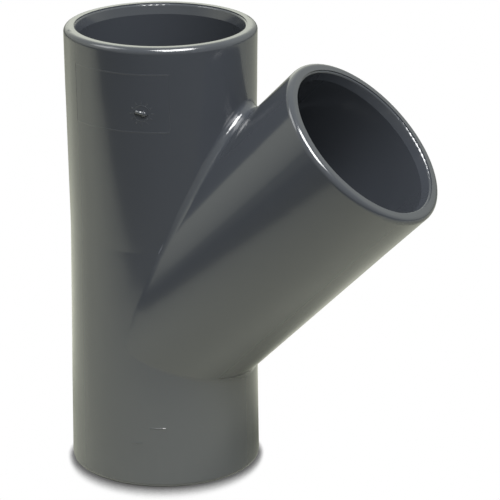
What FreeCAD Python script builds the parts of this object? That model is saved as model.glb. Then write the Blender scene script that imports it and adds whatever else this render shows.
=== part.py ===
import FreeCAD, Part
import math
import os

from FreeCAD import Vector

# Lateral wye fitting, moulded in one piece, with three solvent-cement sockets
# Sizes in mm. The origin is the centre of the lower mouth, which the fitting stands on.
# +Z runs up the straight run, and the branch leaves on the +X side.

# Pipe and branch
pipe_diameter = 50.0
branch_angle = 45.0

# Sockets
socket_clearance = 0.2
socket_depth = 31.0
stop_ledge = 2.6
stop_round = 0.5

# Mouths: a shallow step inside the rim, as wide as the round on the edge below it, then a
# cone that leads the pipe in
step_depth = 0.35
lead_in_width = 0.8
lead_in_depth = 3.35
lead_in_round = 0.5

# Body between the stops. Each web is the length by which a stop clears the corner
# where two bores of the socket's size would meet.
lower_web = 2.5
crotch_web = 5.05
core_draft = 0.3
inner_crotch_round = 0.8

# Walls, each measured outwards from the bore beside it
mouth_wall = 4.45
upper_root_wall = 4.25
lower_root_wall = 4.15
waist_wall = 6.15
branch_start_wall = 6.5

# Outside form. The upper two sockets change their taper a margin past the crotch's blend.
waist_height = 32.5
crotch_margin = 1.3
rim_round = 1.75
crotch_round = 2.3

# Radii
socket_radius = (pipe_diameter + socket_clearance) / 2
body_bore_radius = socket_radius - stop_ledge
lead_in_radius = socket_radius + lead_in_width
step_radius = lead_in_radius + lead_in_round
mouth_radius = socket_radius + mouth_wall
upper_root_radius = socket_radius + upper_root_wall
lower_root_radius = socket_radius + lower_root_wall
waist_radius = body_bore_radius + waist_wall
branch_start_radius = body_bore_radius + branch_start_wall

# Laying lengths run from the crossing of the axes to a stop, and legs to a mouth
half_angle = math.radians(branch_angle / 2)
short_laying_length = socket_radius * math.tan(half_angle) + lower_web
long_laying_length = socket_radius / math.tan(half_angle) + crotch_web
lower_leg = short_laying_length + socket_depth
long_leg = long_laying_length + socket_depth
upper_root_height = (mouth_radius + crotch_round) / math.tan(half_angle) + crotch_margin

# Seams of the run's round faces lie on the side away from the branch, clear of its crease
away_from_branch = -1


def turned(profile, seam_side=1):
    """Solid turned about the upright axis, from pairs of radius and height

    The seam of its round faces lies on the +X side, or on -X for a seam_side of -1.
    """
    corners = [Vector(seam_side * radius, 0, height) for radius, height in profile]
    section = Part.Face(Part.makePolygon(corners + corners[:1]))
    return section.revolve(Vector(0, 0, 0), Vector(0, 0, 1), 360)


def leaned(solid):
    """Solid turned from the run's axis onto the branch's axis"""
    solid.rotate(Vector(0, 0, 0), Vector(0, 1, 0), branch_angle)
    return solid


def circles(solid, radius):
    """Round edges of one radius"""
    return [
        edge
        for edge in solid.Edges
        if isinstance(edge.Curve, Part.Circle) and math.isclose(edge.Curve.Radius, radius)
    ]


def creases(solid):
    """Edges where the branch meets the run"""
    return [edge for edge in solid.Edges if not isinstance(edge.Curve, (Part.Line, Part.Circle))]


def socket_core(stop_height, mouth_height):
    """Profile from the axis at the stop to the axis at the mouth, of what fills a socket"""
    inward = 1 if stop_height > mouth_height else -1
    step_height = mouth_height + inward * step_depth
    return [
        (body_bore_radius, stop_height),
        (socket_radius, stop_height),
        (socket_radius, mouth_height + inward * lead_in_depth),
        (lead_in_radius, step_height),
        (step_radius, step_height),
        (step_radius, mouth_height),
        (0, mouth_height),
    ]


def run_outside():
    """Straight run, drawn in from each mouth to a waist above the branch's root"""
    return turned([
        (0, -lower_leg),
        (mouth_radius, -lower_leg),
        (lower_root_radius, -short_laying_length),
        (waist_radius, waist_height),
        (upper_root_radius, upper_root_height),
        (mouth_radius, long_leg),
        (0, long_leg),
    ], seam_side=away_from_branch)


def branch_outside():
    """Branch, drawn in from its mouth to the run's axis"""
    return leaned(turned([
        (0, 0),
        (branch_start_radius, 0),
        (upper_root_radius, upper_root_height),
        (mouth_radius, long_leg),
        (0, long_leg),
    ]))


def outside():
    """Run and branch as one body, blended along the crease and rounded at the three rims"""
    body = run_outside().fuse(branch_outside()).removeSplitter()
    body = body.makeFillet(crotch_round, creases(body))
    return body.makeFillet(rim_round, circles(body, mouth_radius))


def run_core():
    """Hollow of the straight run, with a socket at each end"""
    lower = socket_core(-short_laying_length, -lower_leg)
    upper = socket_core(long_laying_length, long_leg)
    return turned(lower[::-1] + upper, seam_side=away_from_branch)


def branch_core():
    """Hollow of the branch, a little narrower where it meets the run"""
    start = [(0, 0), (body_bore_radius - core_draft, 0)]
    return leaned(turned(start + socket_core(long_laying_length, long_leg)))


def inside():
    """Both hollows as one, with the edge between them rounded"""
    hollow = run_core().fuse(branch_core()).removeSplitter()
    return hollow.makeFillet(inner_crotch_round, creases(hollow))


def wye_fitting():
    """Whole moulding, hollowed out, with its lead-in edges and stop edges broken"""
    body = outside().cut(inside())
    body = body.makeFillet(stop_round, circles(body, body_bore_radius))
    body = body.makeFillet(lead_in_round, circles(body, lead_in_radius))
    body.translate(Vector(0, 0, lower_leg))
    return body


os.makedirs("parts", exist_ok=True)
wye_fitting().exportStep("parts/wye_fitting.step")
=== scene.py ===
import math

import bmesh
import bpy
from mathutils import Matrix, Vector


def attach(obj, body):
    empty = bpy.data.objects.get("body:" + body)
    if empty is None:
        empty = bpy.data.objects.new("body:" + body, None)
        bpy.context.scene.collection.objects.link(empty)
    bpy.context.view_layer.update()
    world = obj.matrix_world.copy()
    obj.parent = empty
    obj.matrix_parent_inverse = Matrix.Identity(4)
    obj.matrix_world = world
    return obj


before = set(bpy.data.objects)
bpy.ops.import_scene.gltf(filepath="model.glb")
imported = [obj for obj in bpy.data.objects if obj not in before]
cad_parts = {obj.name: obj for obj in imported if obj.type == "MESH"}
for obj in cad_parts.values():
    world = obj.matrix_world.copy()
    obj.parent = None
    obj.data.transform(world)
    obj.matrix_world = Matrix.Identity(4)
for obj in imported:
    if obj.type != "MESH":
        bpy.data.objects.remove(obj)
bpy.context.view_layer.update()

# Lateral wye fitting of glossy grey PVC, standing on a white sheet in a studio
# Lengths are in metres and angles in degrees. Azimuths are turned from -Y towards +X.
MM = 0.001
ORIGIN = Vector((0, 0, 0))
UPWARD = Vector((0, 0, 1))
WORLD_AXES = ((1, 0, 0), (0, 1, 0), (0, 0, 1))

# Where the axes of the run and the branch cross, and the middle of the fitting's height
CROSSING = Vector((0, 0, 43.9 * MM))
MIDDLE = Vector((0, 0, 70 * MM))

# Camera: the direction and distance from which it aims at a point to the right of the crossing and
# above it, its roll, its lens and sensor in millimetres, and how near and far it sees
CAMERA_AZIMUTH = 26.082
CAMERA_ELEVATION = 18.871
CAMERA_ROLL = -0.232
CAMERA_DISTANCE = 938.3 * MM
AIM_RIGHT = 26.82 * MM
AIM_UP = 22.76 * MM
LENS = 215.1
SENSOR = 36
CLIP_NEAR = 50 * MM
CLIP_FAR = 50

# Rigid PVC: two dark greys, mixed by a noise of this scale and detail, and its gloss
PVC_GREYS = ((0.0425, 0.0475, 0.0570, 1), (0.0455, 0.0505, 0.0600, 1))
PVC_NOISE_SCALE = 60.0
PVC_NOISE_DETAIL = 4.0
PVC_ROUGHNESS = 0.14
PVC_IOR = 1.65

# The studio's light is a warm white: as bright as this in the gloss, and where it falls on the
# fitting from all round. The table then counts as an even grey.
WARM = (0.98, 1.0, 0.85, 1)
WHITE = (1, 1, 1, 1)
ROOM_LIGHT = 0.33
SOFT_LIGHT = 0.19
SOFT_TABLE = (0.21, 0.21, 0.21, 1)

# Glows of the room in the gloss: direction, sharpness and strength
ROOM_GLOW = (
    ((-146, 19), 16.0, 1.4),
    ((-150, 50), 6.0, 0.3),
    ((-60, 18), 10.0, 0.55),
    ((-100, 15), 10.0, 0.4),
    ((140, 25), 6.0, 0.4),
)

# Square softboxes, all this far from the fitting: name, direction, side and power in watts
LAMP_DISTANCE = 1.5
LAMPS = (
    ("key", (55, 62), 0.85, 44),
    ("fill", (-60, 50), 0.7, 5.5),
)

# The table in the gloss: pairs of distance in front of the fitting, towards the camera, and tone.
# The tone is painted reflection, seen only in the gloss: lighter near the fitting as a painted pool of
# light, a white sheet under the fitting with a front edge bent to this radius, and painted dark
# beyond it where the room in front is dark. On one side behind the fitting the tone falls to a
# share of itself between two distances, as painted shade.
TABLE_SIDE = 12
PAINTED_TABLE_TONE = (
    (0 * MM, 0.68),
    (30 * MM, 0.72),
    (90 * MM, 0.66),
    (155 * MM, 0.48),
    (188 * MM, 0.37),
    (200 * MM, 0.09),
    (300 * MM, 0.06),
    (420 * MM, 0.03),
    (520 * MM, 0.02),
    (700 * MM, 0.15),
    (1200 * MM, 0.4),
    (2000 * MM, 0.35),
)
TABLE_REACH = PAINTED_TABLE_TONE[-1][0]
SHEET_BEND = 1300 * MM
BEHIND_AZIMUTH = CAMERA_AZIMUTH + 135
BEHIND_SPAN = (20 * MM, 150 * MM)
BEHIND_PAINTED_SHADE_SHARE = 0.55

# Painted contact shadow in the table's white: the radius of the foot, how far the shadow reaches in
# front of it, beside it and inside it, how sharply the reach is drawn to the front, and how steeply
# the shadow looks up
FOOT_RADIUS = 27.8 * MM
CONTACT_FRONT = 13 * MM
CONTACT_SIDE = 3 * MM
CONTACT_INSIDE = 60 * MM
CONTACT_FOCUS = 2.0
CONTACT_RISE = 30
CONTACT_SAMPLES = 16

# How open the floor is where the shadow is full and where it ends, the floor's tone at both, and
# how fast and to what share the shadow fades behind the foot
CONTACT_OPENNESS = (0.28, 0.71)
CONTACT_TONE = (0.13, 1.0)
CONTACT_FADE = 1.5
CONTACT_BEHIND = 0.3

# Marks of the mould on the run, a quarter turn from the branch. They are an insert's frame, a date
# dial inside it and two short bars near the foot, each with its start, end and height. A ridge is
# a width and a rise, and the lower edges of all marks are sunk into the wall. Their places on the
# wall are met from outside, coming in from this far off the run's axis.
SUNK = 0.03 * MM
OUTSIDE = 60 * MM
FRAME_EDGE = 32.6
FRAME_LOW = 114.7 * MM
FRAME_HIGH = 132.5 * MM
LEVEL_RIDGE = (0.45 * MM, 0.03 * MM)
LEVEL_STEPS = 48
UPRIGHT_RIDGE = (0.35 * MM, 0.05 * MM)
UPRIGHT_STEPS = 2
BARS = ((18, 27.5, 19.9 * MM), (6.5, 13.4, 14.8 * MM))
BAR_RIDGE = (0.45 * MM, 0.08 * MM)
BAR_STEPS = 6

# Date dial: a ring, ticks between two distances from the middle, and an arrow. The ends of the
# arrow's shaft and the corners of its head are in millimetres along the arrow and across it, and
# the top of the head is drawn in towards its middle by a share.
DIAL_AZIMUTH = 16.0
DIAL_HEIGHT = 120.6 * MM
RING_RADIUS = 2.4 * MM
RING_RIDGE = (0.4 * MM, 0.03 * MM)
RING_STEPS = 36
TICK_COUNT = 12
TICK_ENDS = (2.9 * MM, 3.7 * MM)
TICK_RIDGE = (0.5 * MM, 0.04 * MM)
ARROW_TURN = -14
ARROW_SHAFT = ((-1.9, 0), (0.6, 0))
ARROW_HEAD = ((0.3, -1.2), (2.1, 0), (0.3, 1.2))
ARROW_RISE = 0.45 * MM
SHAFT_WIDTH = 1.1 * MM
HEAD_DRAWN_IN = 0.4


def towards(azimuth, elevation):
    """Unit vector in a direction given in degrees"""
    azimuth, elevation = math.radians(azimuth), math.radians(elevation)
    return Vector((
        math.sin(azimuth) * math.cos(elevation),
        -math.cos(azimuth) * math.cos(elevation),
        math.sin(elevation),
    ))


def sides(back):
    """Axes to the right and upwards of something with its back in this direction"""
    right = UPWARD.cross(back).normalized()
    return right, back.cross(right)


def steps(start, end, count):
    """Evenly spaced values from start to end"""
    return [start + (end - start) * index / count for index in range(count + 1)]


def place(name, data, axes=WORLD_AXES, centre=ORIGIN):
    """New object with the given axes for its own X, Y and Z"""
    made = bpy.data.objects.new(name, data)
    made.matrix_world = Matrix.Translation(centre) @ Matrix(axes).transposed().to_4x4()
    bpy.context.scene.collection.objects.link(made)
    return made


class Graph:
    """Node tree of one material or of the world"""

    def __init__(self, owner):
        owner.use_nodes = True
        self.tree = owner.node_tree
        self.tree.nodes.clear()

    def add(self, kind, inputs=None, **settings):
        """New node, with its inputs given as values or as other nodes' outputs"""
        made = self.tree.nodes.new("ShaderNode" + kind)
        for name, value in settings.items():
            setattr(made, name, value)
        for name, value in (inputs or {}).items():
            if isinstance(value, bpy.types.NodeSocket):
                self.tree.links.new(value, made.inputs[name])
            else:
                made.inputs[name].default_value = value
        return made

    def math(self, operation, *values, clamp=False):
        made = self.add("Math", dict(enumerate(values)), operation=operation, use_clamp=clamp)
        return made.outputs["Value"]

    def vector(self, operation, *values, output="Vector"):
        made = self.add("VectorMath", dict(enumerate(values)), operation=operation)
        return made.outputs[output]

    def dot(self, first, second):
        return self.vector("DOT_PRODUCT", first, second, output="Value")

    def mix(self, share, first, second):
        """Number between two others"""
        made = self.add("Mix", {"Factor": share, "A": first, "B": second})
        return made.outputs["Result"]

    def mix_colours(self, share, first, second):
        made = self.add("MixRGB", {"Fac": share, "Color1": first, "Color2": second})
        return made.outputs["Color"]

    def span(self, value, old, new, **settings):
        """Number taken from one pair of limits to another"""
        made = self.add("MapRange", {
            "Value": value,
            "From Min": old[0],
            "From Max": old[1],
            "To Min": new[0],
            "To Max": new[1],
        }, **settings)
        return made.outputs["Result"]

    def lobe(self, where, direction, sharpness, strength):
        """Glow that falls off round one direction"""
        facing = self.math("MAXIMUM", self.dot(where, direction), 0.0)
        return self.math("MULTIPLY", self.math("POWER", facing, sharpness), strength)


def plastic():
    """Glossy dark grey rigid PVC, very slightly uneven in tone"""
    material = bpy.data.materials.new("grey_pvc")
    graph = Graph(material)
    cloud = graph.add("TexNoise", {
        "Vector": graph.add("TexCoord").outputs["Object"],
        "Scale": PVC_NOISE_SCALE,
        "Detail": PVC_NOISE_DETAIL,
    })
    shader = graph.add("BsdfPrincipled", {
        "Base Color": graph.mix_colours(cloud.outputs["Fac"], *PVC_GREYS),
        "Roughness": PVC_ROUGHNESS,
        "IOR": PVC_IOR,
    })
    graph.add("OutputMaterial", {"Surface": shader.outputs["BSDF"]})
    return material


class Relief:
    """Low ridges and plates on the run's side, as one piece"""

    def __init__(self, name, ground):
        self.name = name
        self.ground = ground
        self.mesh = bmesh.new()

    def foot(self, azimuth, height):
        """Point on the run's side, and the way out of it"""
        out = towards(azimuth, 0)
        start = Vector((0, 0, height)) + out * OUTSIDE
        point = self.ground.ray_cast(start, -out)[1]
        return point, out

    def ridge(self, path, shape):
        """Ridge along pairs of azimuth and height, with a top half as wide as its foot"""
        width, rise = shape
        section = ((-width / 2, -SUNK), (-width / 4, rise), (width / 4, rise), (width / 2, -SUNK))
        feet = [self.foot(*pair) for pair in path]
        rows = []
        for index, (point, out) in enumerate(feet):
            before = feet[max(index - 1, 0)][0]
            after = feet[min(index + 1, len(feet) - 1)][0]
            side = out.cross(after - before).normalized()
            rows.append([self.mesh.verts.new(point + side * across + out * up) for across, up in section])
        for low, high in zip(rows, rows[1:]):
            for a in range(len(section) - 1):
                self.mesh.faces.new((low[a], low[a + 1], high[a + 1], high[a]))
        self.mesh.faces.new(rows[0][::-1])
        self.mesh.faces.new(rows[-1])

    def level(self, start, end, height, shape, count):
        """Ridge round the run at one height"""
        self.ridge([(turn, height) for turn in steps(start, end, count)], shape)

    def upright(self, turn, low, high, shape, count):
        """Ridge up the run at one azimuth"""
        self.ridge([(turn, height) for height in steps(low, high, count)], shape)

    def plate(self, outline, rise, drawn_in):
        """Flat-topped piece over a convex outline of azimuths and heights"""
        feet = [self.foot(*pair) for pair in outline]
        middle = sum((point for point, out in feet), Vector()) / len(feet)
        low = [self.mesh.verts.new(point - out * SUNK) for point, out in feet]
        high = [self.mesh.verts.new(point.lerp(middle, drawn_in) + out * rise) for point, out in feet]
        self.mesh.faces.new(high)
        self.mesh.faces.new(low[::-1])
        for a in range(len(feet)):
            b = (a + 1) % len(feet)
            self.mesh.faces.new((low[a], low[b], high[b], high[a]))

    def soften(self):
        """Smooth shading over what is there so far"""
        for face in self.mesh.faces:
            face.smooth = True

    def finish(self):
        """Piece of the marks made so far, in the fitting's plastic"""
        bmesh.ops.recalc_face_normals(self.mesh, faces=self.mesh.faces)
        data = bpy.data.meshes.new(self.name)
        self.mesh.to_mesh(data)
        self.mesh.free()
        data.materials.append(plastic())
        piece = place(self.name, data)
        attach(piece, "root")


def mould_marks(ground):
    """Frame of the insert and the two bars"""
    relief = Relief("mould_marks", ground)
    for height in (FRAME_LOW, FRAME_HIGH):
        relief.level(-FRAME_EDGE, FRAME_EDGE, height, LEVEL_RIDGE, LEVEL_STEPS)
    for turn in (-FRAME_EDGE, FRAME_EDGE):
        relief.upright(turn, FRAME_LOW, FRAME_HIGH, UPRIGHT_RIDGE, UPRIGHT_STEPS)
    for start, end, height in BARS:
        relief.level(start, end, height, BAR_RIDGE, BAR_STEPS)
    relief.finish()


def date_dial(ground):
    """Ring with ticks round it, and a plain arrow across its middle"""
    relief = Relief("date_dial", ground)
    run_radius = (relief.foot(DIAL_AZIMUTH, DIAL_HEIGHT)[0] - Vector((0, 0, DIAL_HEIGHT))).length

    def spot(across, up):
        return DIAL_AZIMUTH + math.degrees(across / run_radius), DIAL_HEIGHT + up

    def around(distance, turn):
        turn = math.radians(turn)
        return spot(distance * math.sin(turn), distance * math.cos(turn))

    def on_arrow(corner):
        turned = Matrix.Rotation(math.radians(ARROW_TURN), 2) @ Vector(corner)
        return spot(turned.x * MM, turned.y * MM)

    relief.ridge([on_arrow(end) for end in ARROW_SHAFT], (SHAFT_WIDTH, ARROW_RISE))
    relief.plate([on_arrow(corner) for corner in ARROW_HEAD], ARROW_RISE, HEAD_DRAWN_IN)
    relief.soften()
    relief.ridge([around(RING_RADIUS, turn) for turn in steps(0, 360, RING_STEPS)], RING_RIDGE)
    for turn in steps(0, 360, TICK_COUNT)[:-1]:
        relief.ridge([around(distance, turn) for distance in TICK_ENDS], TICK_RIDGE)
    relief.finish()


def painted_gloss_tone(graph, where):
    """Colour of the table in the gloss, by the distance from the fitting: painted reflection, with
    painted shade behind the fitting on one side
    """
    bend_centre = -SHEET_BEND * towards(CAMERA_AZIMUTH, 0)
    from_bend_centre = graph.vector("DISTANCE", where, bend_centre, output="Value")
    front = graph.math("SUBTRACT", from_bend_centre, SHEET_BEND)
    # Painted reflection: the table's tone in the gloss, lighter near the fitting and dark in front
    ramp = graph.add("ValToRGB", {"Fac": graph.math("DIVIDE", front, TABLE_REACH)})
    stops = ramp.color_ramp.elements
    while len(stops) < len(PAINTED_TABLE_TONE):
        stops.new(1)
    for stop, (distance, tone) in zip(stops, PAINTED_TABLE_TONE):
        stop.position = distance / TABLE_REACH
        stop.color = [tone * channel for channel in WARM[:3]] + [1]
    # Painted shade: the table's tone in the gloss falls behind the fitting, towards the branch's side
    behind = graph.dot(where, towards(BEHIND_AZIMUTH, 0))
    share = graph.span(behind, BEHIND_SPAN, (1.0, BEHIND_PAINTED_SHADE_SHARE))
    shaded = graph.add("VectorMath", {0: ramp.outputs["Color"], "Scale": share}, operation="SCALE")
    return shaded.outputs["Vector"]


def contact_shadow(graph, where):
    """Painted shadow: share of white left where the fitting stands, least inside its foot and towards the
    camera
    """
    outward = graph.vector("NORMALIZE", where)
    ahead = graph.dot(outward, towards(CAMERA_AZIMUTH, 0))
    in_front = graph.math("POWER", graph.math("MAXIMUM", ahead, 0.0), CONTACT_FOCUS)
    reach = graph.math("MULTIPLY_ADD", in_front, CONTACT_FRONT - CONTACT_SIDE, CONTACT_SIDE)
    inside = graph.math("LESS_THAN", graph.vector("LENGTH", where, output="Value"), FOOT_RADIUS)
    inward = -math.cos(math.radians(CONTACT_RISE))
    upward = math.sin(math.radians(CONTACT_RISE))
    near = graph.add("AmbientOcclusion", {
        "Distance": graph.math("MULTIPLY_ADD", inside, CONTACT_INSIDE, reach),
        "Normal": graph.vector("MULTIPLY_ADD", outward, (inward, inward, 0), (0, 0, upward)),
    }, samples=CONTACT_SAMPLES)
    tone = graph.span(
        near.outputs["AO"], CONTACT_OPENNESS, CONTACT_TONE, interpolation_type="SMOOTHSTEP"
    )
    share = graph.math("MULTIPLY_ADD", ahead, CONTACT_FADE, 1.0, clamp=True)
    share = graph.math("MAXIMUM", graph.math("MAXIMUM", share, CONTACT_BEHIND), inside)
    return graph.mix(share, 1.0, tone)


def white_table():
    """White to the camera but for the painted contact shadow, and in the gloss a diffuse surface lit by
    the studio, in a painted tone
    """
    material = bpy.data.materials.new("white_table")
    graph = Graph(material)
    where = graph.add("TexCoord").outputs["Object"]
    ray = graph.add("LightPath")
    colour = graph.mix_colours(ray.outputs["Is Diffuse Ray"], painted_gloss_tone(graph, where), SOFT_TABLE)
    lit = graph.add("BsdfDiffuse", {"Color": colour})
    # The camera sees white light from the table, with the painted contact shadow in it
    white_with_painted_shadow = graph.add("Emission", {"Color": WHITE, "Strength": contact_shadow(graph, where)})
    both = graph.add("MixShader", {
        0: ray.outputs["Is Camera Ray"],
        1: lit.outputs["BSDF"],
        2: white_with_painted_shadow.outputs["Emission"],
    })
    graph.add("OutputMaterial", {"Surface": both.outputs["Shader"]})
    return material


def make_table():
    half = TABLE_SIDE / 2
    corners = [(-half, -half, 0), (half, -half, 0), (half, half, 0), (-half, half, 0)]
    mesh = bpy.data.meshes.new("table")
    mesh.from_pydata(corners, [], [(0, 1, 2, 3)])
    mesh.materials.append(white_table())
    table = place("table", mesh)


def make_world():
    """White for the camera, and for the fitting a studio with a few soft glows"""
    world = bpy.data.worlds.new("studio")
    bpy.context.scene.world = world
    graph = Graph(world)
    where = graph.add("TexCoord").outputs["Generated"]
    strength = ROOM_LIGHT
    for direction, sharpness, amount in ROOM_GLOW:
        glow = graph.lobe(where, towards(*direction), sharpness, amount)
        strength = graph.math("ADD", strength, glow)
    ray = graph.add("LightPath")
    strength = graph.mix(ray.outputs["Is Diffuse Ray"], strength, SOFT_LIGHT)
    strength = graph.mix(ray.outputs["Is Camera Ray"], strength, 1.0)
    colour = graph.mix_colours(ray.outputs["Is Camera Ray"], WARM, WHITE)
    back = graph.add("Background", {"Color": colour, "Strength": strength})
    graph.add("OutputWorld", {"Surface": back.outputs["Background"]})


def make_lamp(name, direction, side, power):
    """Square softbox that faces the middle of the fitting"""
    light = bpy.data.lights.new(name, "AREA")
    light.shape = "SQUARE"
    light.size = side
    light.energy = power
    back = towards(*direction)
    place(name, light, (*sides(back), back), MIDDLE + back * LAMP_DISTANCE)


def make_camera():
    back = towards(CAMERA_AZIMUTH, CAMERA_ELEVATION)
    right, up = sides(back)
    roll = math.radians(CAMERA_ROLL)
    right, up = (
        math.cos(roll) * right + math.sin(roll) * up,
        math.cos(roll) * up - math.sin(roll) * right,
    )
    camera = bpy.data.cameras.new("camera")
    camera.lens = LENS
    camera.sensor_width = SENSOR
    camera.clip_start = CLIP_NEAR
    camera.clip_end = CLIP_FAR
    eye = CROSSING + AIM_RIGHT * right + AIM_UP * up + CAMERA_DISTANCE * back
    bpy.context.scene.camera = place("camera", camera, (right, up, back), eye)


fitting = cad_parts["wye_fitting"]
fitting.data.materials.clear()
fitting.data.materials.append(plastic())

# The marks are laid on the fitting's surface, once it is in place
bpy.context.view_layer.update()
mould_marks(fitting)
date_dial(fitting)

make_table()
make_world()
for settings in LAMPS:
    make_lamp(*settings)
make_camera()
bpy.context.scene.view_settings.view_transform = "Standard"
